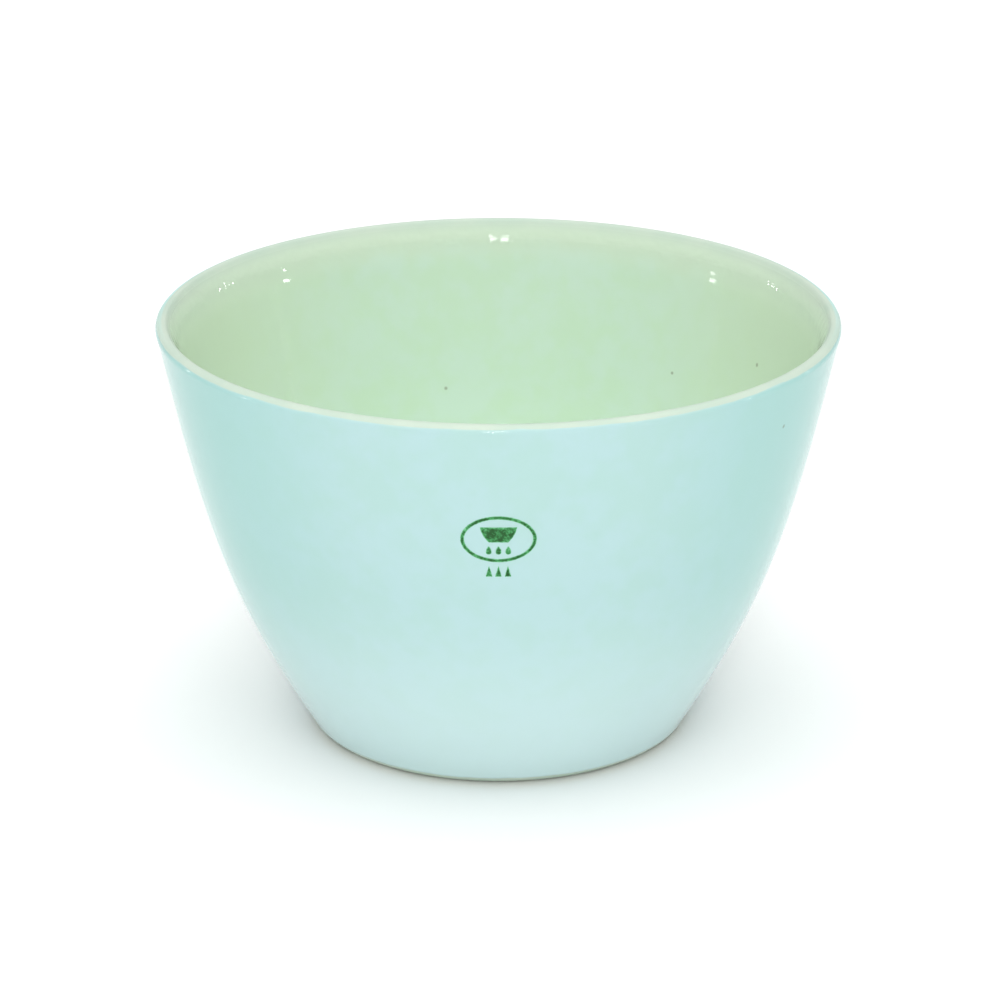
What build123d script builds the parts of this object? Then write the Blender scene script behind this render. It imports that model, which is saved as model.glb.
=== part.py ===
from build123d import *

import os
from math import cos, radians, sin, tan

# Low-form laboratory crucible of hard porcelain, in millimetres.
# It stands on its flat foot at the origin, with +Z up, and its fired stamp faces -Y.

# --- Driving dimensions --------------------------------------------------------------------

# The outline of the glazed outside
outer_diameter = 70.0       # widest point, on the rounded lip
height = 44.0
foot_diameter = 38.0        # where wall and base would meet if the heel were sharp
rim_lean = 11.9             # degrees that the wall leans from the vertical at the lip
foot_lean = 32.2            # the same at the foot
rim_pull = 22.0             # how far down the wall the lean at the lip is felt
foot_pull = 17.3            # how far up the wall the lean at the foot is felt
heel_radius = 2.5

# Thicknesses
wall_thickness = 2.0
floor_thickness = 3.0
lip_radius = 0.8            # both edges of the lip, with a narrow flat left between them
inner_corner_radius = 9.0

# The glaze, which is wiped off the lip and off the foot before firing
glaze_thickness = 0.2
outer_glaze_drop = 0.25     # bare height between the top of the lip and the outer glaze
inner_glaze_drop = 1.5      # the same on the inside
foot_bare_height = 0.8      # bare height between the foot and the outer glaze

# The stamp of ceramic ink on the front: a bowl over three flames in an oval ring, and under
# it three small kiln cones. Its sizes are those seen straight from the front
ink_thickness = 0.05
stamp_height = 31.6         # middle of the ring above the foot
ring_width = 7.4
ring_height = 5.2
ring_stroke = 0.36
bowl_width = 3.6
bowl_foot_width = 1.9
bowl_height = 1.7
bowl_bulge = 0.16           # how far each side of the bowl swells past a straight line
bowl_rise = 0.5             # middle of the bowl above the middle of the ring
flame_width = 0.56
flame_height = 0.95
flame_pitch = 0.95
flame_drop = 1.25           # middle of the flames below the middle of the ring
cone_width = 0.66
cone_height = 1.25
cone_pitch = 0.92
cone_drop = 3.65            # middle of the cones below the middle of the ring

# --- Sections, drawn with X as the radius and Y as the height ------------------------------

up_at_rim = Vector(sin(radians(rim_lean)), cos(radians(rim_lean)))
up_at_foot = Vector(sin(radians(foot_lean)), cos(radians(foot_lean)))
# A sharp corner of the lip would stand out past the rounded lip by this much
lip_overhang = lip_radius * (1 / tan(radians(90 - rim_lean) / 2) - 1)

foot_corner = Vector(foot_diameter / 2, 0)
rim_corner = Vector(outer_diameter / 2 + lip_overhang, height)
wall_polygon = Polyline(
    foot_corner,
    foot_corner + up_at_foot * foot_pull,
    rim_corner - up_at_rim * rim_pull,
    rim_corner,
)


def form(inset, bottom, top, bottom_radius, top_radius=0):
    """A half section from the axis out to the wall's curve, moved inwards by an inset.

    Moving the curve's control polygon moves the curve with it. The wall runs on past the
    lip, as on a blank, and the section is then trimmed to its heights and rounded.
    """
    polygon = wall_polygon
    if inset:
        side = Side.LEFT if inset > 0 else Side.RIGHT
        polygon = polygon.offset_2d(abs(inset), kind=Kind.INTERSECTION, side=side, closed=False)
    points = [Vector(corner) for corner in polygon.vertices().sort_by(Axis.Y)]
    blank_corner = points[-1] + up_at_rim * height
    with BuildSketch() as section:
        with BuildLine():
            Bezier(*points)
            Polyline(points[-1], blank_corner, (0, blank_corner.Y), (0, points[0].Y), points[0])
        make_face()
        with Locations((0, bottom)):
            span = (outer_diameter, top - bottom)
            Rectangle(*span, align=(Align.MIN, Align.MIN), mode=Mode.INTERSECT)
        fillet(section.vertices().group_by(Axis.Y)[0].sort_by(Axis.X)[-1], radius=bottom_radius)
        if top_radius:
            fillet(section.vertices().group_by(Axis.Y)[-1].sort_by(Axis.X)[-1], radius=top_radius)
    return section.sketch


def outside(growth=0):
    """The whole outer form without its cavity, grown or shrunk all round."""
    return form(-growth, -growth, height + growth, heel_radius + growth, lip_radius + growth)


def cavity(growth=0):
    """The cavity, open above the lip, grown into the wall and the floor."""
    inset = wall_thickness - growth
    return form(inset, floor_thickness - growth, 1.5 * height, inner_corner_radius + growth)


def layer(larger, smaller, bottom, top):
    """The section of a layer between two forms and between two heights."""
    with BuildSketch() as section:
        add(larger)
        add(smaller, mode=Mode.SUBTRACT)
        with Locations((0, bottom)):
            span = (outer_diameter, top - bottom)
            Rectangle(*span, align=(Align.MIN, Align.MIN), mode=Mode.INTERSECT)
    return section.sketch


outer_glaze_top = height - outer_glaze_drop
inner_glaze_top = height - inner_glaze_drop
outer_glaze_section = layer(
    outside(), outside(-glaze_thickness), foot_bare_height, outer_glaze_top
)
inner_glaze_section = layer(cavity(glaze_thickness), cavity(), 0, inner_glaze_top)
# Ink all round the wall, over the heights that hold the stamp, which is then cut out of it
ink_bottom = stamp_height - cone_drop - cone_height
ink_top = stamp_height + ring_height
ink_section = layer(form(-ink_thickness, 0, height, heel_radius), outside(), ink_bottom, ink_top)

# The body: form less cavity, its inner lip rounded too, with the glaze let into its surface
with BuildSketch() as body_section:
    add(outside())
    add(cavity(), mode=Mode.SUBTRACT)
    fillet(body_section.vertices().group_by(Axis.Y)[-1].sort_by(Axis.X)[0], radius=lip_radius)
    add(outer_glaze_section, mode=Mode.SUBTRACT)
    add(inner_glaze_section, mode=Mode.SUBTRACT)


# --- Porcelain body ------------------------------------------------------------------------

with BuildPart() as crucible_body:
    with BuildSketch(Plane.XZ):
        add(body_section.sketch)
    revolve(axis=Axis.Z)

crucible_body.part.label = "crucible_body"

# --- Outer glaze, from just under the lip to just above the foot ---------------------------

with BuildPart() as outer_glaze:
    with BuildSketch(Plane.XZ):
        add(outer_glaze_section)
    revolve(axis=Axis.Z)

outer_glaze.part.label = "outer_glaze"

# --- Inner glaze, over the floor and up to below the lip -----------------------------------

with BuildPart() as inner_glaze:
    with BuildSketch(Plane.XZ):
        add(inner_glaze_section)
    revolve(axis=Axis.Z)

inner_glaze.part.label = "inner_glaze"

# --- Stamp, a thin layer of ink on the outer glaze -----------------------------------------

# A small bowl with bulging sides, about the middle of its height
with BuildSketch() as bowl:
    with BuildLine():
        rim = Line((0, bowl_height / 2), (bowl_width / 2, bowl_height / 2))
        side = SagittaArc(rim @ 1, (bowl_foot_width / 2, -bowl_height / 2), bowl_bulge)
        Line(side @ 1, (0, -bowl_height / 2))
        mirror(about=Plane.YZ)
    make_face()

# A flame: a drop with a round foot and a pointed tip, about the middle of its height
with BuildSketch() as flame:
    with BuildLine():
        round_centre = (0, flame_width / 2 - flame_height / 2)
        foot = CenterArc(round_centre, flame_width / 2, -90, 90)
        TangentArc(foot @ 1, (0, flame_height / 2), tangent=foot % 1)
        mirror(about=Plane.YZ)
    make_face()

# A kiln cone, about the middle of its height
with BuildSketch() as cone:
    tip_y = cone_height / 2
    Polygon((-cone_width / 2, -tip_y), (cone_width / 2, -tip_y), (0, tip_y))

# The whole stamp as it is seen from the front, about the middle of its ring
with BuildSketch() as stamp:
    Ellipse(ring_width / 2, ring_height / 2)
    Ellipse(ring_width / 2 - ring_stroke, ring_height / 2 - ring_stroke, mode=Mode.SUBTRACT)
    with Locations((0, bowl_rise)):
        add(bowl.sketch)
    with Locations((0, -flame_drop)):
        with GridLocations(flame_pitch, 0, 3, 1):
            add(flame.sketch)
    with Locations((0, -cone_drop)):
        with GridLocations(cone_pitch, 0, 3, 1):
            add(cone.sketch)

with BuildPart() as ink_layer:
    with BuildSketch(Plane.XZ):
        add(ink_section)
    revolve(axis=Axis.Z)

with BuildPart() as green_stamp:
    with BuildSketch(Plane.XZ):
        with Locations((0, stamp_height)):
            add(stamp.sketch)
    extrude(amount=outer_diameter)
    add(ink_layer.part, mode=Mode.INTERSECT)

green_stamp.part.label = "green_stamp"

# --- One STEP file for each sub-part -------------------------------------------------------

os.makedirs("parts", exist_ok=True)
for sub_part in (crucible_body, outer_glaze, inner_glaze, green_stamp):
    export_step(sub_part.part, f"parts/{sub_part.part.label}.step")
    print(sub_part.part.label, len(sub_part.solids()), "solids", sub_part.part.volume, "mm3")
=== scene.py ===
# %% [markdown]
# # A low-form porcelain crucible
#
# A crucible is fired twice. The first firing leaves a dry, cream-white body. The body is then
# dipped in glaze, the glaze is wiped off the lip and the foot so that nothing sticks in the
# kiln, the maker's stamp is put on in chrome-green ink, and the second firing melts glaze and
# ink together. So there are four things to make: the body, the glaze outside, the glaze inside
# and the stamp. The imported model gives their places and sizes. This file gives them the small
# unevenness and the surfaces that the kiln leaves.

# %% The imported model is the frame
import bisect
import math

import bpy
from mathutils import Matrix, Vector


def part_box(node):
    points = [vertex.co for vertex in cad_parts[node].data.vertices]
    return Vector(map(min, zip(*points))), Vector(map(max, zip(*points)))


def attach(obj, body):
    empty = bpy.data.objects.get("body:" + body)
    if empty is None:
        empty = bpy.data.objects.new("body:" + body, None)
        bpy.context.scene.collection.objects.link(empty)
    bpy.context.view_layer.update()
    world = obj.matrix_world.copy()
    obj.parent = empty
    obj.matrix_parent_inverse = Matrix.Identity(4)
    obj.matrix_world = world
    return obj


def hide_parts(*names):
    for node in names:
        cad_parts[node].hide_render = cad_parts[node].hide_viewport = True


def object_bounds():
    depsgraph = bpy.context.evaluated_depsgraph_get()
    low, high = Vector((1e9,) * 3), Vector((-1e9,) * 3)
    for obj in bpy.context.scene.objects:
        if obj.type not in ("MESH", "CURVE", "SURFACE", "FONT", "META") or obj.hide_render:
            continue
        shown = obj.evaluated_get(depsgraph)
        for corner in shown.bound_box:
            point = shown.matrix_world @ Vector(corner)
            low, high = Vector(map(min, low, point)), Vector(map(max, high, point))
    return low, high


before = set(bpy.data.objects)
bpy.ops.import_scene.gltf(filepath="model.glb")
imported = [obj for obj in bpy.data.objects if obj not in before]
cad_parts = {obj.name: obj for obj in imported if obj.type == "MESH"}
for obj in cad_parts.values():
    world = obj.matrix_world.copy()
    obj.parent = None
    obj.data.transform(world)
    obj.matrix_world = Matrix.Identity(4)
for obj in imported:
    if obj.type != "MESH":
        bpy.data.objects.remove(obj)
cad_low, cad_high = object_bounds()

mm = 0.001
outer_radius = cad_high.x
height = cad_high.z
print(f"crucible: {2 * outer_radius / mm:.1f} mm across and {height / mm:.1f} mm high")

# %% [markdown]
# ## Camera
#
# A long lens from half a metre keeps the rim nearly as wide at the back as at the front, which
# is how small laboratory ware is usually shown. The camera stands in front of the stamp, which
# faces -Y, and looks down a little, so that the inside shows over the front lip.

# %% Camera
camera_distance = 490 * mm
camera_elevation = math.radians(20.33)
pivot = Vector((0, 0, 21.5 * mm))
aim = Vector((0.155 * mm, 0, 23.815 * mm))

camera_data = bpy.data.cameras.new("camera")
camera_data.lens = 170
camera_data.sensor_width = 36
camera_data.clip_start = 10 * mm
camera = bpy.data.objects.new("camera", camera_data)
back = Vector((0, -math.cos(camera_elevation), math.sin(camera_elevation)))
camera.location = pivot + back * camera_distance
camera.rotation_euler = (aim - camera.location).to_track_quat("-Z", "Y").to_euler()
bpy.context.scene.collection.objects.link(camera)
bpy.context.scene.camera = camera

# %% [markdown]
# ## Colours and nodes
#
# Colours are read off samples as hex values, as on a screen, but shaders add light, so they
# need linear numbers. One function does that. A second one adds a node of any kind, to a
# geometry tree or a material, with its settings and its inputs. An input is given a value, or
# the socket that it is linked to, or just the node, which stands for its first output in use.

# %% Helpers for colours and nodes
bpy.context.scene.view_settings.view_transform = "Standard"


def colour(hex_code):
    """The linear colour of an sRGB hex value such as "c8e4cc"."""
    screen = [int(hex_code[i : i + 2], 16) / 255 for i in (0, 2, 4)]
    linear = [s / 12.92 if s <= 0.04045 else ((s + 0.055) / 1.055) ** 2.4 for s in screen]
    return (*linear, 1)


def feed(node, inputs):
    """Set a node's inputs, by name or number, to values, sockets or other nodes."""
    for key, value in inputs.items():
        if isinstance(value, bpy.types.Node):
            value = next(socket for socket in value.outputs if socket.enabled)
        if isinstance(value, bpy.types.NodeSocket):
            node.id_data.links.new(value, node.inputs[key])
        else:
            node.inputs[key].default_value = value


def add(tree, kind, inputs=(), **settings):
    """A new node of any kind, with its settings and its inputs."""
    made = tree.nodes.new(kind)
    for name, value in settings.items():
        setattr(made, name, value)
    feed(made, dict(inputs))
    return made


# %% [markdown]
# ## Floor and light
#
# Glaze looks like glaze because it mirrors its surroundings, so the surroundings are a white
# sweep: a pale floor under an even white sky. One wide soft box hangs overhead, a low one stands
# under the camera and lights the front more than the two flanks, and a third one above the
# camera fills the shadow under the wall. The two in front are kept out of the glaze's reflections,
# where the overhead one, a bare strip lamp above the camera and four small lamps at the sides are seen.

# %% Floor and light
floor_mesh = bpy.data.meshes.new("floor")
side = 3.0    # half the width of the floor
corners = [(-side, -side, 0), (side, -side, 0), (side, side, 0), (-side, side, 0)]
floor_mesh.from_pydata(corners, [], [(0, 1, 2, 3)])
floor = bpy.data.objects.new("floor", floor_mesh)
bpy.context.scene.collection.objects.link(floor)

paper = bpy.data.materials.new("white_paper_sweep")
paper.use_nodes = True
paper_shader = paper.node_tree.nodes["Principled BSDF"]
paper_shader.inputs["Base Color"].default_value = colour("fdfdfc")
paper_shader.inputs["Roughness"].default_value = 0.9
paper_shader.inputs["Specular IOR Level"].default_value = 0.1
floor_mesh.materials.append(paper)

sky = bpy.data.worlds.new("white_sky")
bpy.context.scene.world = sky
sky.use_nodes = True
sky.node_tree.nodes["Background"].inputs["Color"].default_value = (1, 1, 1, 1)
sky.node_tree.nodes["Background"].inputs["Strength"].default_value = 0.4


def area_light(name, place, width, tall, watts, mirrored=True):
    """A lamp of a given width and height that faces the crucible."""
    data = bpy.data.lights.new(name, "AREA")
    data.shape = "RECTANGLE"
    data.size = width
    data.size_y = tall
    data.energy = watts
    lamp = bpy.data.objects.new(name, data)
    lamp.location = place
    lamp.rotation_euler = (pivot - lamp.location).to_track_quat("-Z", "Y").to_euler()
    lamp.visible_glossy = mirrored
    bpy.context.scene.collection.objects.link(lamp)


overhead_data = bpy.data.lights.new("overhead_soft_box", "SUN")
overhead_data.energy = 0.68 * math.pi
overhead_data.angle = math.radians(70)
bpy.context.scene.collection.objects.link(bpy.data.objects.new("overhead", overhead_data))


def around(azimuth, elevation, distance):
    """A place round the crucible; azimuth 0 is in front of it, and 90 is to its right."""
    turn, rise = math.radians(azimuth), math.radians(elevation)
    level = Vector((math.sin(turn), -math.cos(turn), 0)) * math.cos(rise)
    return pivot + (level + Vector((0, 0, math.sin(rise)))) * distance


area_light("low_soft_box", around(2, 8, 0.85), 0.6, 0.24, 0.5, mirrored=False)
area_light("high_soft_box", around(0, 38, 0.8), 0.5, 0.3, 0.95, mirrored=False)
area_light("lip_lamp", around(-1, 25, 0.55), 0.06, 0.085, 0.48)
for azimuth, elevation in ((86, 6), (-87, 6), (118, 6), (-118, 6)):
    area_light("side_lamp", around(azimuth, elevation, 0.6), 0.024, 0.04, 0.1)

# %% [markdown]
# ## The outline that everything follows
#
# The wall's section is one smooth curve, steep at the lip and leaning out from the foot. Four
# points guide it, and moving those four points inwards gives the inside of the wall. The heel,
# the outer edge of the lip and the corner of the floor are rounded, and the inner edge of the
# lip is wiped down to a soft flare, which leaves only a narrow flat on top. Drawn from the
# middle of the foot, out, up, over the lip and down to the middle of the floor, it is one line.
# Each piece then takes its own stretch of that line, so they fit each other by construction.

# %% Sizes of the outline
foot_radius = 19.0 * mm
rim_lean = math.radians(11.9)
foot_lean = math.radians(32.2)
rim_pull = 22.0 * mm
foot_pull = 17.3 * mm
heel_radius = 2.5 * mm
lip_radius = 0.8 * mm
wall_thickness = 2.0 * mm
floor_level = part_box("inner_glaze")[0].z + 0.2 * mm
inner_corner_radius = 9.0 * mm
flare_depth = 4.3 * mm    # the inside of the wall starts to flare this far below the lip
flare_pulls = (0.4 * mm, 2.3 * mm)
flat_width = 0.12 * mm    # what is left of the flat top of the lip
wall_steps = 600
arc_steps = 24


# %% The wall's curve, at any depth inside the wall
def moved(corners, inset):
    """The corners of an open line of straight runs after each run moves left by the inset."""
    runs = [(b - a).normalized() for a, b in zip(corners, corners[1:])]
    lefts = [Vector((-run.y, run.x)) for run in runs]
    lefts = [lefts[0], *lefts, lefts[-1]]
    return [
        corner + (before + after) * inset / (1 + before.dot(after))
        for corner, before, after in zip(corners, lefts, lefts[1:])
    ]


def curve_at(guides, t):
    """The point and the direction of a curve with four guides."""
    weights = ((1 - t) ** 3, 3 * t * (1 - t) ** 2, 3 * t * t * (1 - t), t**3)
    slopes = ((1 - t) ** 2, 2 * t * (1 - t), t * t)
    point = sum((g * w for g, w in zip(guides, weights)), Vector((0, 0)))
    along = sum(((b - a) * s for a, b, s in zip(guides, guides[1:], slopes)), Vector((0, 0)))
    return point, along


def wall_line(inset, out):
    """Points up the wall, each with its normal; out is 1 for the outside and -1 for the inside."""
    up_at_foot = Vector((math.sin(foot_lean), math.cos(foot_lean)))
    up_at_rim = Vector((math.sin(rim_lean), math.cos(rim_lean)))
    overhang = lip_radius * (1 / math.tan((math.pi / 2 - rim_lean) / 2) - 1)
    foot = Vector((foot_radius, 0))
    rim = Vector((outer_radius + overhang, height))
    guides = moved([foot, foot + up_at_foot * foot_pull, rim - up_at_rim * rim_pull, rim], inset)
    line = []
    for step in range(wall_steps + 1):
        point, along = curve_at(guides, step / wall_steps)
        normal = Vector((along.y, -along.x)).normalized() * out
        line.append((point, normal))
    return line


def rounding(line, radius, centre_height):
    """Where a corner leaves the line, and its centre; a hollow corner has a negative radius."""
    centres = [point - normal * radius for point, normal in line]
    index = next(i for i, centre in enumerate(centres) if centre.y >= centre_height)
    before, after = centres[index - 1], centres[index]
    share = (centre_height - before.y) / (after.y - before.y)
    return index, before.lerp(after, share)


def arc(centre, radius, start, end):
    """Points and normals round a corner, from one direction of the normal to another."""
    made = []
    for step in range(arc_steps + 1):
        angle = start + (end - start) * step / arc_steps
        normal = Vector((math.cos(angle), math.sin(angle)))
        made.append((centre + normal * radius, normal))
    return made


def flare(start, end, up_the_wall):
    """The soft turn from the flat of the lip to the inside of the wall, with its normals."""
    guides = (start, start - Vector((flare_pulls[0], 0)), end + up_the_wall * flare_pulls[1], end)
    made = []
    for step in range(2 * arc_steps + 1):
        point, along = curve_at(guides, step / (2 * arc_steps))
        made.append((point, Vector((along.y, -along.x)).normalized()))
    return made


def direction(line, index):
    """The angle of the normal at a point of the line, in radians."""
    return math.atan2(line[index][1].y, line[index][1].x)


# %% One line from the middle of the foot to the middle of the floor
outside = wall_line(0, 1)
inside = wall_line(wall_thickness, -1)
heel, heel_centre = rounding(outside, heel_radius, heel_radius)
lip_out, lip_out_centre = rounding(outside, lip_radius, height - lip_radius)
flare_start = next(i for i, (p, n) in enumerate(inside) if p.y >= height - flare_depth)
flare_point, flare_normal = inside[flare_start]
up_the_wall = Vector((flare_normal.y, -flare_normal.x))
bend, bend_centre = rounding(inside, -inner_corner_radius, floor_level + inner_corner_radius)
down, up, quarter = Vector((0, -1)), Vector((0, 1)), math.pi / 2

form = [
    (Vector((0, 0)), down),
    *arc(heel_centre, heel_radius, -quarter, direction(outside, heel)),
    *outside[heel + 1 : lip_out],
    *arc(lip_out_centre, lip_radius, direction(outside, lip_out), quarter),
    *flare(Vector((lip_out_centre.x - flat_width, height)), flare_point, up_the_wall),
    *reversed(inside[bend + 1 : flare_start]),
    *arc(bend_centre, -inner_corner_radius, direction(inside, bend), quarter),
    (Vector((0, floor_level)), up),
]
lengths = [0.0]
for (before, _), (after, _) in zip(form, form[1:]):
    lengths.append(lengths[-1] + (after - before).length)
print(f"outline: {len(form)} points, {lengths[-1] / mm:.1f} mm long")


def form_at(length):
    """The point and the normal at a length along the outline."""
    index = min(max(bisect.bisect(lengths, length), 1), len(form) - 1)
    share = (length - lengths[index - 1]) / (lengths[index] - lengths[index - 1])
    (point_a, normal_a), (point_b, normal_b) = form[index - 1], form[index]
    return point_a.lerp(point_b, share), normal_a.lerp(normal_b, share).normalized()


def length_at_height(level, first, last):
    """The length at which the outline passes a height, between two of its points."""
    for index in range(first, last):
        low, high = form[index][0].y, form[index + 1][0].y
        if low != high and min(low, high) <= level <= max(low, high):
            share = (level - low) / (high - low)
            return lengths[index] + share * (lengths[index + 1] - lengths[index])


# %% [markdown]
# ## Turning an outline on a wheel
#
# A jigger shapes a crucible by turning it against a template, so every piece is an outline
# turned once. A Screw modifier or the Spin tool would do it, but a Geometry Nodes tree can also
# let the edge of the glaze wander and let the wall be a little out of true, as a hand-fettled
# pot is. The tree lays out a grid whose rows are the points of the outline and whose columns
# are the steps of the turn, bends it round the axis and welds the seam and the poles. Each
# point of the outline says how far it drifts with the wandering edge, how far it bulges with
# the uneven wall, and how far it is from the edge of the glaze, which the materials read.

# %% The turning tree
turning = bpy.data.node_groups.new("turn_on_wheel", "GeometryNodeTree")
turning.interface.new_socket("Geometry", in_out="OUTPUT", socket_type="NodeSocketGeometry")
turning_inputs = {
    "Geometry": "NodeSocketGeometry",
    "Turns": "NodeSocketInt",
    "Edge wander": "NodeSocketFloat",
    "Edge waves round": "NodeSocketFloat",
    "Wall unevenness": "NodeSocketFloat",
    "Unevenness width": "NodeSocketFloat",
    "Seed": "NodeSocketFloat",
    "Material": "NodeSocketMaterial",
}
for name, kind in turning_inputs.items():
    turning.interface.new_socket(name, in_out="INPUT", socket_type=kind)

given = add(turning, "NodeGroupInput").outputs
outline_size = add(turning, "GeometryNodeAttributeDomainSize", {"Geometry": given["Geometry"]})
count = outline_size.outputs["Point Count"]
columns = add(turning, "ShaderNodeMath", {0: given["Turns"], 1: 1.0}, operation="ADD")
grid = add(turning, "GeometryNodeMeshGrid", {"Vertices X": columns, "Vertices Y": count})
index = add(turning, "GeometryNodeInputIndex")
row = add(turning, "FunctionNodeIntegerMath", {0: index, 1: count}, operation="MODULO")
column = add(turning, "FunctionNodeIntegerMath", {0: index, 1: count}, operation="DIVIDE_FLOOR")
part_of_turn = add(turning, "ShaderNodeMath", {0: column, 1: given["Turns"]}, operation="DIVIDE")
angle = add(turning, "ShaderNodeMath", {0: part_of_turn, 1: math.tau}, operation="MULTIPLY")


# %% What each point of the grid takes from the outline
def of_row(value, data_type):
    """What the outline holds at the point that this row stands for."""
    inputs = {"Geometry": given["Geometry"], "Value": value, "Index": row}
    return add(turning, "GeometryNodeSampleIndex", inputs, data_type=data_type)


place = of_row(add(turning, "GeometryNodeInputPosition"), "FLOAT_VECTOR")
held = {}
for name, data_type in (("drift", "FLOAT_VECTOR"), ("bulge", "FLOAT_VECTOR"), ("from_edge", "FLOAT")):
    attribute = add(turning, "GeometryNodeInputNamedAttribute", {"Name": name}, data_type=data_type)
    held[name] = of_row(attribute.outputs["Attribute"], data_type)


def turned(vector):
    """A vector of the outline, swung round the axis by this column's angle."""
    inputs = {"Vector": vector, "Angle": angle}
    return add(turning, "ShaderNodeVectorRotate", inputs, rotation_type="Z_AXIS")


# %% How far the edge wanders and the wall gives way, round the turn
# Once round the edge is once round a circle in the noise, so the wander meets itself
wander_noise = add(
    turning,
    "ShaderNodeTexNoise",
    {
        "Vector": turned((1.0, 0.0, 0.0)),
        "W": given["Seed"],
        "Scale": given["Edge waves round"],
        "Detail": 4,
    },
    noise_dimensions="4D",
)
wander = add(
    turning,
    "ShaderNodeMapRange",
    {"Value": wander_noise, "From Min": 0.3, "From Max": 0.7, "To Min": -1.0},
    clamp=False,
)
wander_size = add(turning, "ShaderNodeMath", {0: wander, 1: given["Edge wander"]}, operation="MULTIPLY")
lumps = add(turning, "ShaderNodeMath", {0: 1.0, 1: given["Unevenness width"]}, operation="DIVIDE")
wall_noise = add(
    turning,
    "ShaderNodeTexNoise",
    {"Vector": turned(place), "W": given["Seed"], "Scale": lumps, "Detail": 1},
    noise_dimensions="4D",
)
# The wall is only ever a little under its size, never over
under = add(turning, "ShaderNodeMath", {0: wall_noise, 1: 1.0}, operation="SUBTRACT")
under_size = add(turning, "ShaderNodeMath", {0: under, 1: given["Wall unevenness"]}, operation="MULTIPLY")
drifted = add(
    turning,
    "ShaderNodeVectorMath",
    {0: held["drift"], 1: wander_size, 2: place},
    operation="MULTIPLY_ADD",
)
bulged = add(
    turning,
    "ShaderNodeVectorMath",
    {0: held["bulge"], 1: under_size, 2: drifted},
    operation="MULTIPLY_ADD",
)

# %% The grid bent round the axis, welded and given its material
weld_gap = 0.0005 * mm
bent = add(turning, "GeometryNodeSetPosition", {"Geometry": grid, "Position": turned(bulged)})
marked = add(
    turning,
    "GeometryNodeStoreNamedAttribute",
    {"Geometry": bent, "Name": "from_edge", "Value": held["from_edge"]},
    data_type="FLOAT",
    domain="POINT",
)
welded = add(turning, "GeometryNodeMergeByDistance", {"Geometry": marked, "Distance": weld_gap})
smooth = add(turning, "GeometryNodeSetShadeSmooth", {"Geometry": welded})
real = add(turning, "GeometryNodeRealizeInstances", {"Geometry": smooth})
finished = add(turning, "GeometryNodeSetMaterial", {"Geometry": real, "Material": given["Material"]})
add(turning, "NodeGroupOutput", {"Geometry": finished})



# %% Running a tree, and keeping its result as a plain mesh
def settled(name, mesh, tree, values):
    """A new object with the mesh that the tree makes of the given one."""
    maker = bpy.data.objects.new("maker", mesh)
    bpy.context.scene.collection.objects.link(maker)
    modifier = maker.modifiers.new("tree", "NODES")
    modifier.node_group = tree
    for socket in tree.interface.items_tree:
        if socket.in_out == "INPUT" and socket.name in values:
            modifier[socket.identifier] = values[socket.name]
    evaluated = maker.evaluated_get(bpy.context.evaluated_depsgraph_get())
    made = bpy.data.meshes.new_from_object(evaluated)
    bpy.data.objects.remove(maker)
    made.name = name
    piece = bpy.data.objects.new(name, made)
    bpy.context.scene.collection.objects.link(piece)
    triangles = sum(len(face.vertices) - 2 for face in made.polygons)
    print(f"{name}: {triangles} triangles")
    return piece


def outline_mesh(name, rows):
    """An outline for the turning tree, from rows of place, drift, bulge and distance."""
    mesh = bpy.data.meshes.new(name)
    edges = [(i, i + 1) for i in range(len(rows) - 1)]
    mesh.from_pydata([(row[0].x, 0, row[0].y) for row in rows], edges, [])
    for number, attribute in ((1, "drift"), (2, "bulge")):
        data = mesh.attributes.new(attribute, "FLOAT_VECTOR", "POINT").data
        data.foreach_set("vector", [c for row in rows for c in (row[number].x, 0, row[number].y)])
    data = mesh.attributes.new("from_edge", "FLOAT", "POINT").data
    data.foreach_set("value", [row[3] for row in rows])
    return mesh


# %% [markdown]
# ## Glaze
#
# Glaze is a skin of glass about a fifth of a millimetre thick. Where it was wiped away it ends
# in a low rounded bead, because molten glass pulls itself together at an edge, and just above
# that edge it thins out. The skin here is closed: its rows run up its face, turn under at the
# edge and come back down its hidden side, a little inside the body.

# %% How thick the glaze is near its edge
glaze_thickness = 0.2 * mm
bead_width = 0.7 * mm
tuck = 0.012 * mm         # how far the hidden side and the edge reach into the body
tuck_width = 0.6 * mm
room_start = 0.3 * mm     # distance from the edge at which the body begins to make room
full_depth = 1.5 * mm     # and at which it has made all of it
drift_reach = 2.5 * mm    # distance from the edge within which rows wander with it


def eased(share):
    """A smooth step from 0 to 1."""
    share = min(max(share, 0), 1)
    return share * share * (3 - 2 * share)


def bead(distance, bead_height):
    """How far the glaze's face stands proud of the outline, at a distance from its edge."""
    swell = bead_height * math.sin(math.pi * min(distance / bead_width, 1)) ** 1.5
    return swell - tuck * eased(1 - distance / tuck_width)


def room(distance):
    """How deep under the outline the body's surface lies, at a distance from the edge."""
    return glaze_thickness * eased((distance - room_start) / (full_depth - room_start))


# %% The rows of a skin of glaze
def skin_rows(start, end, last_is_edge, bead_height, face_rows, back_rows):
    """Rows up a stretch of the outline and back down its hidden side, crowded at its edges."""
    rows = []
    for step in range(face_rows + back_rows):
        on_face = step <= face_rows
        share = step / face_rows if on_face else 1 - (step - face_rows) / back_rows
        if last_is_edge or not on_face:
            crowded = (1 - math.cos(math.pi * share)) / 2
        else:
            crowded = 1 - math.cos(math.pi * share / 2)
        length = start + (end - start) * crowded
        point, normal = form_at(length)
        distance = min(length - start, end - length) if last_is_edge else length - start
        lift = bead(distance, bead_height) if on_face else -room(distance) - tuck
        drift = Vector((-normal.y, normal.x)) * eased(1 - distance / drift_reach)
        bulge = normal * eased(distance / full_depth)
        rows.append((point + normal * lift, drift, bulge, distance))
    rows.append(rows[0])
    return rows


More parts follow.
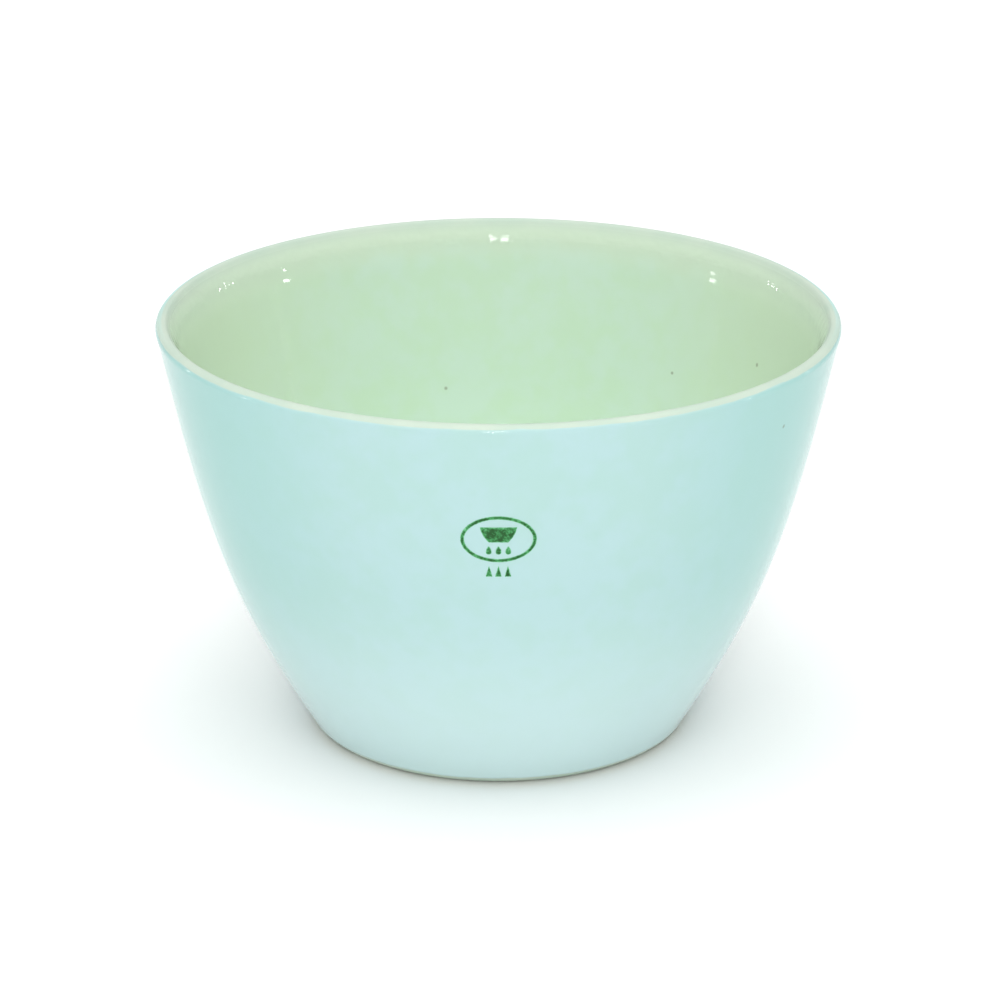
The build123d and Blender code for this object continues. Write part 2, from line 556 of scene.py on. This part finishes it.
# %% Where each glaze starts and stops
outer_low, outer_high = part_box("outer_glaze")
inner_low, inner_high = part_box("inner_glaze")
hair = 0.001 * mm         # nearer than this counts as level with the top
lip_top = next(i for i, (p, n) in enumerate(form) if p.y >= height - hair)
outer_start = length_at_height(outer_low.z, 1, lip_top)
outer_end = length_at_height(outer_high.z, arc_steps, lip_top)
inner_start = length_at_height(inner_high.z, lip_top + arc_steps, len(form) - 1)
inner_end = lengths[-1]
print(f"outer glaze: {(outer_end - outer_start) / mm:.1f} mm of the outline")
print(f"inner glaze: {(inner_end - inner_start) / mm:.1f} mm of the outline")

# %% [markdown]
# ## The finish of glaze
#
# Laboratory glaze is a clear hard glass over a white body, tinted by a trace of iron and
# copper. It is nearly smooth, so lamps show in it as small hard lights, with only the faint
# waviness that potters call orange peel. Its tint drifts between a greener and a bluer shade
# as its thickness does, it pales to the body's cream where it thins at its edge, and a few
# specks of iron show as brown dots. Index of refraction of glass: 1.5.


# %% A new material, and the settings that its nodes share
soft_step = {"interpolation_type": "SMOOTHSTEP"}
in_colour = {"data_type": "RGBA"}


def new_material(name):
    """A material with its tree, its shader and its object coordinates."""
    material = bpy.data.materials.new(name)
    material.use_nodes = True
    tree = material.node_tree
    coordinates = add(tree, "ShaderNodeTexCoord").outputs["Object"]
    return material, tree, tree.nodes["Principled BSDF"], coordinates


# %% Glaze material
def fired_glaze(name, greener, bluer, flank_shade, thin, fade, ripple, foot_painted_light, specks):
    """Glaze whose tint drifts, thins over a distance at its edge and ripples there.

    A speck is its angle round from the stamp in degrees, then height, radius and size in mm.
    """
    material, tree, shader, coordinates = new_material(name)
    broad = add(tree, "ShaderNodeTexNoise", {"Vector": coordinates, "Scale": 1 / (9 * mm)})
    fine = add(
        tree, "ShaderNodeTexNoise", {"Vector": coordinates, "Scale": 1 / (2.6 * mm), "Detail": 3}
    )
    both = add(tree, "ShaderNodeMath", {0: broad, 1: fine}, operation="ADD")
    drift = add(tree, "ShaderNodeMapRange", {0: both, 1: 0.75, 2: 1.25}, **soft_step)
    tint = add(tree, "ShaderNodeMix", {0: drift, 6: colour(greener), 7: colour(bluer)}, **in_colour)
    # Painted shade: the two flanks take a colour that stands in for how light falls on them, darker outside
    # and yellower inside
    place = add(tree, "ShaderNodeSeparateXYZ", {0: coordinates}).outputs
    sideways = add(tree, "ShaderNodeMath", {0: place["X"]}, operation="ABSOLUTE")
    flank_shading = add(tree, "ShaderNodeMapRange", {0: sideways, 1: 12 * mm, 2: 34 * mm}, **soft_step)
    tint = add(tree, "ShaderNodeMix", {0: flank_shading, 6: tint, 7: colour(flank_shade)}, **in_colour)
    # At its edge it thins, over a wavering distance
    edge = add(tree, "ShaderNodeAttribute", attribute_name="from_edge").outputs["Fac"]
    edge_wave = add(tree, "ShaderNodeMath", {0: fine, 1: fade * 0.6}, operation="MULTIPLY")
    waved = add(tree, "ShaderNodeMath", {0: edge, 1: edge_wave}, operation="ADD")
    cover = add(tree, "ShaderNodeMapRange", {0: waved, 1: 0.25 * fade, 2: 1.3 * fade}, **soft_step)
    tint = add(tree, "ShaderNodeMix", {0: cover, 6: colour(thin), 7: tint}, **in_colour)
    # Painted light: it pales towards the foot, lifting the shade that falls under the overhanging wall
    low = add(
        tree, "ShaderNodeMapRange", {0: place["Z"], 1: 0.0, 2: 26 * mm, 3: foot_painted_light, 4: 0.0}, **soft_step
    )
    tint = add(tree, "ShaderNodeMix", {0: low, 6: tint, 7: colour("cfe6e6")}, **in_colour)
    for angle, level, radius, size in specks:
        turn = math.radians(angle)
        centre = (radius * math.sin(turn) * mm, -radius * math.cos(turn) * mm, level * mm)
        gap = add(tree, "ShaderNodeVectorMath", {0: coordinates, 1: centre}, operation="DISTANCE")
        fading = {0: gap, 1: 0.3 * size * mm, 2: size * mm, 3: 0.5, 4: 0.0}
        spot = add(tree, "ShaderNodeMapRange", fading, **soft_step)
        tint = add(tree, "ShaderNodeMix", {0: spot, 6: tint, 7: colour("6d6a4c")}, **in_colour)
    rough = add(tree, "ShaderNodeMapRange", {0: fine, 1: 0.3, 2: 0.7, 3: 0.05, 4: 0.09}, **soft_step)
    # The glaze ripples where it was wiped and ran together again, and is smoother elsewhere
    fading = {0: edge, 1: 0.5 * mm, 2: 1.8 * mm, 3: ripple, 4: 0.0}
    wiped = add(tree, "ShaderNodeMapRange", fading, **soft_step)
    waves = add(
        tree, "ShaderNodeTexNoise", {"Vector": coordinates, "Scale": 1 / (1.2 * mm), "Detail": 1}
    )
    rippled = add(tree, "ShaderNodeMath", {0: waves, 1: wiped}, operation="MULTIPLY")
    # Real orange peel is a micrometre or so high; it is drawn higher so that it shows
    peel = add(
        tree, "ShaderNodeTexNoise", {"Vector": coordinates, "Scale": 1 / (1.3 * mm), "Detail": 1}
    )
    peeled = add(tree, "ShaderNodeMath", {0: peel, 1: 0.004 * mm}, operation="MULTIPLY")
    relief = add(tree, "ShaderNodeMath", {0: rippled, 1: peeled}, operation="ADD")
    bump = add(tree, "ShaderNodeBump", {"Height": relief, "Distance": 1.0, "Strength": 1.0})
    feed(shader, {"Base Color": tint, "Roughness": rough, "Normal": bump})
    # Fine pits keep it from mirroring as strongly as window glass does
    feed(shader, {"IOR": 1.5, "Specular IOR Level": 0.22})
    return material


mint_glaze = fired_glaze(
    "mint_glaze",
    greener="adcfcb",
    bluer="b0d0d1",
    flank_shade="a0cdc8",
    thin="bbd5ce",
    fade=0.35 * mm,
    ripple=0.012 * mm,
    foot_painted_light=0.8,
    specks=[(56, 38.5, 33.98, 0.3)],
)
celadon_glaze = fired_glaze(
    "celadon_glaze",
    greener="cbe3cb",
    bluer="cee4d4",
    flank_shade="d2e4c9",
    thin="cedfca",
    fade=3.4 * mm,
    ripple=0.055 * mm,
    foot_painted_light=0.0,
    specks=[
        (-168.6, 26.4, 29.0, 0.26),
        (141.3, 29.85, 29.93, 0.24),
        (117.8, 33.75, 30.89, 0.3),
        (178.5, 20.9, 26.5, 0.3),
    ],
)

# %% [markdown]
# ## The two skins of glaze
#
# The outer one runs from just above the foot to the top of the lip, so both of its ends are
# edges. The inner one runs from just under the lip to the middle of the floor.

# %% Outer and inner glaze
unevenness = {"Wall unevenness": 0.05 * mm, "Unevenness width": 22 * mm, "Seed": 3.0}
outer_rows = skin_rows(outer_start, outer_end, True, 0.02 * mm, 130, 50)
outer_glaze = settled(
    "outer_glaze_skin",
    outline_mesh("outer_glaze_outline", outer_rows),
    turning,
    {
        **unevenness,
        "Turns": 500,
        "Edge wander": 0.1 * mm,
        "Edge waves round": 6.0,
        "Material": mint_glaze,
    },
)
inner_rows = skin_rows(inner_start, inner_end, False, 0.006 * mm, 140, 40)
inner_glaze = settled(
    "inner_glaze_skin",
    outline_mesh("inner_glaze_outline", inner_rows),
    turning,
    {
        **unevenness,
        "Turns": 500,
        "Edge wander": 0.12 * mm,
        "Edge waves round": 8.0,
        "Material": celadon_glaze,
    },
)

# %% [markdown]
# ## The body
#
# Under the glaze the body only has to be there, but at the lip and the foot it shows: fired
# porcelain without glaze, dry to the eye and faintly gritty from the wiping. It is cream-white,
# and its foot is a little grey where it has stood on the kiln shelf. The wiping leaves a thin
# film of glaze on the flare inside the lip, and on the lip's outer edge at the back. A film
# has no thickness to model, so it is part of the body's own finish.

# %% Bare porcelain
def bare_porcelain(name):
    """Matte cream-white porcelain with a fine grit, and with a film of glaze at the lip."""
    material, tree, shader, coordinates = new_material(name)
    cloud = add(tree, "ShaderNodeTexNoise", {"Vector": coordinates, "Scale": 1 / (5 * mm), "Detail": 3})
    cloudy = add(tree, "ShaderNodeMapRange", {0: cloud, 1: 0.35, 2: 0.65}, **soft_step)
    tint = add(tree, "ShaderNodeMix", {0: cloudy, 6: colour("bdcfc0"), 7: colour("c3d2c3")}, **in_colour)
    # The film inside the lip is found by its radius, and kept off the foot by its height
    flat = add(tree, "ShaderNodeVectorMath", {0: coordinates, 1: (1, 1, 0)}, operation="MULTIPLY")
    radius = add(tree, "ShaderNodeVectorMath", {0: flat}, operation="LENGTH")
    place = add(tree, "ShaderNodeSeparateXYZ", {0: coordinates}).outputs
    high = add(tree, "ShaderNodeMapRange", {0: place["Z"], 1: 30 * mm, 2: 38 * mm}, **soft_step)
    fading = {0: radius, 1: 33.1 * mm, 2: 33.9 * mm, 3: 1.0, 4: 0.0}
    within = add(tree, "ShaderNodeMapRange", fading, **soft_step)
    inner_film = add(tree, "ShaderNodeMath", {0: within, 1: high}, operation="MULTIPLY")
    tint = add(tree, "ShaderNodeMix", {0: inner_film, 6: tint, 7: colour("cfe0cb")}, **in_colour)
    at_back = add(tree, "ShaderNodeMapRange", {0: place["Y"], 1: -12 * mm, 2: 12 * mm}, **soft_step)
    beyond = add(tree, "ShaderNodeMapRange", {0: radius, 1: 34.25 * mm, 2: 34.5 * mm}, **soft_step)
    outer_film = add(tree, "ShaderNodeMath", {0: beyond, 1: at_back}, operation="MULTIPLY")
    tint = add(tree, "ShaderNodeMix", {0: outer_film, 6: tint, 7: colour("b9e0dc")}, **in_colour)
    # The foot is scuffed
    fading = {0: place["Z"], 1: 0.0, 2: 0.5 * mm, 3: 0.55, 4: 0.0}
    foot = add(tree, "ShaderNodeMapRange", fading, **soft_step)
    scuffs = add(
        tree, "ShaderNodeTexNoise", {"Vector": coordinates, "Scale": 1 / (1.5 * mm), "Detail": 4}
    )
    scuffed = add(tree, "ShaderNodeMath", {0: foot, 1: scuffs}, operation="MULTIPLY")
    tint = add(tree, "ShaderNodeMix", {0: scuffed, 6: tint, 7: colour("b9b7ad")}, **in_colour)
    # Bare, it is dry; the film is as glossy as the glaze below it, and ripples with it
    fading = {0: inner_film, 1: 0.0, 2: 0.7, 3: 0.55, 4: 0.08}
    rough = add(tree, "ShaderNodeMapRange", fading, **soft_step)
    waves = add(
        tree, "ShaderNodeTexNoise", {"Vector": coordinates, "Scale": 1 / (1.2 * mm), "Detail": 1}
    )
    in_film = add(tree, "ShaderNodeMath", {0: waves, 1: inner_film}, operation="MULTIPLY")
    rippled = add(tree, "ShaderNodeMath", {0: in_film, 1: 0.055 * mm}, operation="MULTIPLY")
    # The grit is really some 10 micrometres; it is drawn coarser so that it shows
    grit = add(tree, "ShaderNodeTexNoise", {"Vector": coordinates, "Scale": 1 / (0.25 * mm)})
    grit_size = add(tree, "ShaderNodeMath", {0: grit, 1: 0.004 * mm}, operation="MULTIPLY")
    fading = {0: inner_film, 1: 0.0, 2: 0.5, 3: 1.0, 4: 0.0}
    bare = add(tree, "ShaderNodeMapRange", fading, **soft_step)
    gritty = add(tree, "ShaderNodeMath", {0: grit_size, 1: bare}, operation="MULTIPLY")
    relief = add(tree, "ShaderNodeMath", {0: rippled, 1: gritty}, operation="ADD")
    bump = add(tree, "ShaderNodeBump", {"Height": relief, "Distance": 1.0, "Strength": 1.0})
    feed(shader, {"Base Color": tint, "Roughness": rough, "Normal": bump})
    feed(shader, {"IOR": 1.5, "Specular IOR Level": 0.22})
    return material



porcelain = bare_porcelain("bare_porcelain")


# %% The body's rows: the whole outline, let in under the glaze
def body_rows(spacings):
    """Rows along the outline, at a spacing that each stretch gives."""
    rows = []
    for start, end, spacing in spacings:
        steps = max(1, round((end - start) / spacing))
        for step in range(steps):
            length = start + (end - start) * step / steps
            point, normal = form_at(length)
            into_outer = min(length - outer_start, outer_end - length)
            into_inner = length - inner_start
            under_glaze = max(into_outer, into_inner, 0)
            share = eased(under_glaze / full_depth)
            place = point - normal * room(under_glaze)
            rows.append((place, Vector((0, 0)), normal * share, under_glaze))
    point, normal = form[-1]
    rows.append((point - normal * glaze_thickness, Vector((0, 0)), normal, 1.0))
    return rows


spacings = [
    (0, outer_start - 3 * mm, 1.2 * mm),
    (outer_start - 3 * mm, outer_start + 1.5 * mm, 0.25 * mm),
    (outer_start + 1.5 * mm, outer_end - 2 * mm, 1.0 * mm),
    (outer_end - 2 * mm, inner_start + 2 * mm, 0.12 * mm),
    (inner_start + 2 * mm, inner_end, 1.0 * mm),
]
body = settled(
    "porcelain_body",
    outline_mesh("body_outline", body_rows(spacings)),
    turning,
    {
        **unevenness,
        "Turns": 500,
        "Edge wander": 0.0,
        "Edge waves round": 1.0,
        "Material": porcelain,
    },
)

# %% [markdown]
# ## The stamp
#
# The maker's stamp is a rubber stamp pressed on with chrome-green ink: a bowl over three flames
# in an oval ring, and three kiln cones under it. Drawn by hand it would be a page of points, so
# a Geometry Nodes tree draws it from circles and one trapezium, repeats the flames and cones
# along a line, lets the outline fray a little, fills it, and throws it against the curved wall.
# Ink lies a few hundredths of a millimetre proud of the glaze.

# %% The stamp's tree: the sizes it takes
printing = bpy.data.node_groups.new("print_stamp", "GeometryNodeTree")
printing.interface.new_socket("Geometry", in_out="OUTPUT", socket_type="NodeSocketGeometry")
stamp_sizes = {
    "Level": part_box("green_stamp")[1].z - 2.6 * mm,
    "Ring width": 7.4 * mm,
    "Ring height": 5.2 * mm,
    "Ring stroke": 0.36 * mm,
    "Bowl width": 3.6 * mm,
    "Bowl foot width": 1.9 * mm,
    "Bowl height": 1.7 * mm,
    "Bowl bulge": 0.16 * mm,
    "Bowl rise": 0.5 * mm,
    "Flame width": 0.56 * mm,
    "Flame height": 0.95 * mm,
    "Flame pitch": 0.95 * mm,
    "Flame drop": 1.25 * mm,
    "Cone width": 0.66 * mm,
    "Cone height": 1.25 * mm,
    "Cone pitch": 0.92 * mm,
    "Cone drop": 3.65 * mm,
    "Fray": 0.02 * mm,
    "Sunk": 0.03 * mm,
    "Proud": 0.025 * mm,
}
for name in stamp_sizes:
    printing.interface.new_socket(name, in_out="INPUT", socket_type="NodeSocketFloat")
printing.interface.new_socket("Seed", in_out="INPUT", socket_type="NodeSocketFloat")
printing.interface.new_socket("Wall", in_out="INPUT", socket_type="NodeSocketObject")
printing.interface.new_socket("Material", in_out="INPUT", socket_type="NodeSocketMaterial")
wanted = add(printing, "NodeGroupInput").outputs
position = add(printing, "GeometryNodeInputPosition")
here = add(printing, "ShaderNodeSeparateXYZ", {0: position}).outputs


# %% What the drawing uses more than once
def ellipse(points, width, tall):
    """An ellipse of a given width and height, drawn with a number of points."""
    round_one = add(printing, "GeometryNodeCurvePrimitiveCircle", {"Resolution": points, "Radius": 1.0})
    half_width = add(printing, "ShaderNodeMath", {0: width, 1: 2.0}, operation="DIVIDE")
    half_height = add(printing, "ShaderNodeMath", {0: tall, 1: 2.0}, operation="DIVIDE")
    scale = add(printing, "ShaderNodeCombineXYZ", {"X": half_width, "Y": half_height, "Z": 1.0})
    return add(printing, "GeometryNodeTransform", {"Geometry": round_one, "Scale": scale})


def three_in_a_row(figure, pitch, drop):
    """A small figure repeated three times, at a pitch, below the middle of the ring."""
    first_x = add(printing, "ShaderNodeMath", {0: pitch, 1: -1.0}, operation="MULTIPLY")
    below = add(printing, "ShaderNodeMath", {0: drop, 1: -1.0}, operation="MULTIPLY")
    start = add(printing, "ShaderNodeCombineXYZ", {"X": first_x, "Y": below})
    step = add(printing, "ShaderNodeCombineXYZ", {"X": pitch})
    line = add(printing, "GeometryNodeMeshLine", {"Count": 3, "Start Location": start, "Offset": step})
    placed = add(printing, "GeometryNodeInstanceOnPoints", {"Points": line, "Instance": figure})
    return add(printing, "GeometryNodeRealizeInstances", {"Geometry": placed})


# %% Ring: an ellipse, and a smaller one inside it by the stroke on each side
inside_ring = {}
for name in ("Ring width", "Ring height"):
    inputs = {0: wanted["Ring stroke"], 1: -2.0, 2: wanted[name]}
    inside_ring[name] = add(printing, "ShaderNodeMath", inputs, operation="MULTIPLY_ADD")
ring_points = 96
ring_outside = ellipse(ring_points, wanted["Ring width"], wanted["Ring height"])
ring_hole = ellipse(ring_points, inside_ring["Ring width"], inside_ring["Ring height"])

# %% Bowl: a trapezium whose sides swell most half way up and not at all at the corners
trapezium = add(
    printing,
    "GeometryNodeCurvePrimitiveQuadrilateral",
    {
        "Height": wanted["Bowl height"],
        "Bottom Width": wanted["Bowl foot width"],
        "Top Width": wanted["Bowl width"],
        "Offset": 0.0,
    },
    mode="TRAPEZOID",
)
bowl_points = add(
    printing, "GeometryNodeResampleCurve", {"Curve": trapezium, "Length": 0.1 * mm}, mode="LENGTH"
)
half_bowl = add(printing, "ShaderNodeMath", {0: wanted["Bowl height"], 1: 2.0}, operation="DIVIDE")
from_half = add(printing, "ShaderNodeMath", {0: here["Y"], 1: half_bowl}, operation="DIVIDE")
squared = add(printing, "ShaderNodeMath", {0: from_half, 1: from_half}, operation="MULTIPLY")
fullness = add(printing, "ShaderNodeMath", {0: 1.0, 1: squared}, operation="SUBTRACT")
swell = add(printing, "ShaderNodeMath", {0: fullness, 1: wanted["Bowl bulge"]}, operation="MULTIPLY")
which_side = add(printing, "ShaderNodeMath", {0: here["X"]}, operation="SIGN")
outwards = add(printing, "ShaderNodeMath", {0: which_side, 1: swell}, operation="MULTIPLY")
push = add(printing, "ShaderNodeCombineXYZ", {"X": outwards})
swollen = add(printing, "GeometryNodeSetPosition", {"Geometry": bowl_points, "Offset": push})
rise = add(printing, "ShaderNodeCombineXYZ", {"Y": wanted["Bowl rise"]})
bowl = add(printing, "GeometryNodeTransform", {"Geometry": swollen, "Translation": rise})

# %% Flames: a circle whose upper half is drawn out to a point
flame_round = add(printing, "ShaderNodeMath", {0: wanted["Flame width"], 1: 2.0}, operation="DIVIDE")
flame_circle = ellipse(40, wanted["Flame width"], wanted["Flame width"])
above = add(printing, "ShaderNodeMath", {0: wanted["Flame height"], 1: flame_round}, operation="SUBTRACT")
stretch = add(printing, "ShaderNodeMath", {0: above, 1: flame_round}, operation="DIVIDE")
is_upper = add(printing, "ShaderNodeMath", {0: here["Y"], 1: 0.0}, operation="GREATER_THAN")
sideways = add(printing, "ShaderNodeMath", {0: here["X"]}, operation="ABSOLUTE")
pinch = add(printing, "ShaderNodeMath", {0: sideways, 1: flame_round}, operation="DIVIDE")
pinched_x = add(printing, "ShaderNodeMath", {0: here["X"], 1: pinch}, operation="MULTIPLY")
stretched_y = add(printing, "ShaderNodeMath", {0: here["Y"], 1: stretch}, operation="MULTIPLY")
flame_place = add(printing, "ShaderNodeCombineXYZ", {"X": pinched_x, "Y": stretched_y})
drawn_out = add(
    printing,
    "GeometryNodeSetPosition",
    {"Geometry": flame_circle, "Selection": is_upper, "Position": flame_place},
)
half_flame = add(printing, "ShaderNodeMath", {0: wanted["Flame height"], 1: 2.0}, operation="DIVIDE")
too_high = add(printing, "ShaderNodeMath", {0: flame_round, 1: half_flame}, operation="SUBTRACT")
centred = add(printing, "ShaderNodeCombineXYZ", {"Y": too_high})
flame = add(printing, "GeometryNodeTransform", {"Geometry": drawn_out, "Translation": centred})
flames = three_in_a_row(flame, wanted["Flame pitch"], wanted["Flame drop"])

# %% Kiln cones: circles of three points, turned tip up and stretched
# In a circle of radius 1, three points make a triangle root 3 wide and 1.5 high
triangle = add(printing, "GeometryNodeCurvePrimitiveCircle", {"Resolution": 3, "Radius": 1.0})
tip_up = add(printing, "GeometryNodeTransform", {"Geometry": triangle, "Rotation": (0.0, 0.0, math.pi / 2)})
wide = add(printing, "ShaderNodeMath", {0: wanted["Cone width"], 1: math.sqrt(3)}, operation="DIVIDE")
tall = add(printing, "ShaderNodeMath", {0: wanted["Cone height"], 1: 1.5}, operation="DIVIDE")
cone_scale = add(printing, "ShaderNodeCombineXYZ", {"X": wide, "Y": tall, "Z": 1.0})
below = add(printing, "ShaderNodeMath", {0: wanted["Cone height"], 1: -6.0}, operation="DIVIDE")
lowered = add(printing, "ShaderNodeCombineXYZ", {"Y": below})
cone = add(
    printing,
    "GeometryNodeTransform",
    {"Geometry": tip_up, "Translation": lowered, "Scale": cone_scale},
)
cones = three_in_a_row(cone, wanted["Cone pitch"], wanted["Cone drop"])

# %% The whole outline, frayed
drawing = add(printing, "GeometryNodeJoinGeometry")
for figure in (ring_outside, ring_hole, bowl, flames, cones):
    feed(drawing, {0: figure})
outline = add(
    printing, "GeometryNodeResampleCurve", {"Curve": drawing, "Length": 0.08 * mm}, mode="LENGTH"
)
fray_noise = add(
    printing,
    "ShaderNodeTexNoise",
    {"Vector": position, "W": wanted["Seed"], "Scale": 1 / (0.3 * mm), "Detail": 2},
    noise_dimensions="4D",
)
fray_shift = add(
    printing,
    "ShaderNodeVectorMath",
    {0: fray_noise.outputs["Color"], 1: (-0.5, -0.5, -0.5)},
    operation="ADD",
)
# The noise strays by only about a quarter from its middle, so it is taken four times
fray_size = add(printing, "ShaderNodeMath", {0: wanted["Fray"], 1: 4.0}, operation="MULTIPLY")
fray_plane = add(printing, "ShaderNodeCombineXYZ", {"X": fray_size, "Y": fray_size})
fray = add(printing, "ShaderNodeVectorMath", {0: fray_shift, 1: fray_plane}, operation="MULTIPLY")
frayed = add(printing, "GeometryNodeSetPosition", {"Geometry": outline, "Offset": fray})

# %% Filled with ink; each point knows how far it is from the edge of the ink
filled = add(printing, "GeometryNodeFillCurve", {"Curve": frayed}, mode="TRIANGLES")
finer = add(printing, "GeometryNodeSubdivideMesh", {"Mesh": filled, "Level": 2})
wire = add(printing, "GeometryNodeCurveToMesh", {"Curve": frayed})
nearest = add(
    printing,
    "GeometryNodeProximity",
    {0: wire, "Source Position": position},
    target_element="EDGES",
)
inked = add(
    printing,
    "GeometryNodeStoreNamedAttribute",
    {"Geometry": finer, "Name": "from_edge", "Value": nearest.outputs["Distance"]},
    data_type="FLOAT",
    domain="POINT",
)

# %% Stood upright in front of the wall and thrown straight back against it
clear_of_wall = -60 * mm
level = add(printing, "ShaderNodeMath", {0: here["Y"], 1: wanted["Level"]}, operation="ADD")
in_front = add(printing, "ShaderNodeCombineXYZ", {"X": here["X"], "Y": clear_of_wall, "Z": level})
upright = add(printing, "GeometryNodeSetPosition", {"Geometry": inked, "Position": in_front})
wall = add(printing, "GeometryNodeObjectInfo", {"Object": wanted["Wall"]}, transform_space="RELATIVE")
source = add(printing, "ShaderNodeCombineXYZ", {"X": here["X"], "Y": clear_of_wall, "Z": here["Z"]})
thrown = add(
    printing,
    "GeometryNodeRaycast",
    {
        "Target Geometry": wall.outputs["Geometry"],
        "Source Position": source,
        "Ray Direction": (0.0, 1.0, 0.0),
        "Ray Length": -clear_of_wall,
    },
).outputs
depth = add(printing, "ShaderNodeMath", {0: wanted["Sunk"], 1: -1.0}, operation="MULTIPLY")
inwards = add(
    printing,
    "ShaderNodeVectorMath",
    {0: thrown["Hit Normal"], "Scale": depth},
    operation="SCALE",
)
on_wall = add(
    printing,
    "GeometryNodeSetPosition",
    {"Geometry": upright, "Position": thrown["Hit Position"], "Offset": inwards},
)

# %% Thickened, closed and given its material
thickness = add(printing, "ShaderNodeMath", {0: wanted["Sunk"], 1: wanted["Proud"]}, operation="ADD")
raised = add(
    printing,
    "GeometryNodeExtrudeMesh",
    {
        "Mesh": on_wall,
        "Offset": thrown["Hit Normal"],
        "Offset Scale": thickness,
        "Individual": False,
    },
    mode="FACES",
)
under_side = add(printing, "GeometryNodeFlipFaces", {"Mesh": on_wall})
closed = add(printing, "GeometryNodeJoinGeometry")
for half in (under_side, raised):
    feed(closed, {0: half})
sealed = add(printing, "GeometryNodeMergeByDistance", {"Geometry": closed, "Distance": weld_gap})
real_ink = add(printing, "GeometryNodeRealizeInstances", {"Geometry": sealed})
printed = add(printing, "GeometryNodeSetMaterial", {"Geometry": real_ink, "Material": wanted["Material"]})
add(printing, "NodeGroupOutput", {"Geometry": printed})


# %% [markdown]
# ## Chrome-green ink
#
# Chrome oxide keeps its colour in the kiln, so it is the usual green for marks. A rubber stamp
# leaves more ink in some places than in others and little at its edges, so the green goes from
# nearly black where it pooled to a pale wash where the glaze shows through. Melted into the
# glaze, it is as glossy as the glaze.


# %% Ink material
def stamped_ink(name):
    """Patchy green ink, thin at its edges."""
    material, tree, shader, coordinates = new_material(name)
    edge = add(tree, "ShaderNodeAttribute", attribute_name="from_edge").outputs["Fac"]
    patch = add(
        tree, "ShaderNodeTexNoise", {"Vector": coordinates, "Scale": 1 / (0.6 * mm), "Detail": 3}
    )
    grain = add(tree, "ShaderNodeTexNoise", {"Vector": coordinates, "Scale": 1 / (0.2 * mm)})
    depth = add(tree, "ShaderNodeMapRange", {0: edge, 1: -0.05 * mm, 2: 0.14 * mm}, **soft_step)
    patched = add(tree, "ShaderNodeMath", {0: patch, 1: 1.3}, operation="MULTIPLY")
    laid = add(tree, "ShaderNodeMath", {0: patched, 1: depth}, operation="MULTIPLY")
    density = add(tree, "ShaderNodeMath", {0: laid, 1: grain}, operation="ADD")
    washed = add(tree, "ShaderNodeMapRange", {0: density, 1: 0.45, 2: 1.0}, **soft_step)
    wash = add(tree, "ShaderNodeMix", {0: washed, 6: colour("7cc494"), 7: colour("3f9354")}, **in_colour)
    pooled = add(tree, "ShaderNodeMapRange", {0: density, 1: 0.85, 2: 1.3}, **soft_step)
    tint = add(tree, "ShaderNodeMix", {0: pooled, 6: wash, 7: colour("17501f")}, **in_colour)
    feed(shader, {"Base Color": tint, "Roughness": 0.15, "IOR": 1.5, "Specular IOR Level": 0.28})
    return material



green_ink = stamped_ink("chrome_green_ink")

# %% The stamp on the wall
stamp = settled(
    "green_stamp_ink",
    bpy.data.meshes.new("stamp_start"),
    printing,
    {**stamp_sizes, "Seed": 5.0, "Wall": outer_glaze, "Material": green_ink},
)

# %% What rides on what
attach(body, "root")
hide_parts("crucible_body")
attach(outer_glaze, "root")
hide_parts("outer_glaze")
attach(inner_glaze, "root")
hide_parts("inner_glaze")
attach(stamp, "root")
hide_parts("green_stamp")
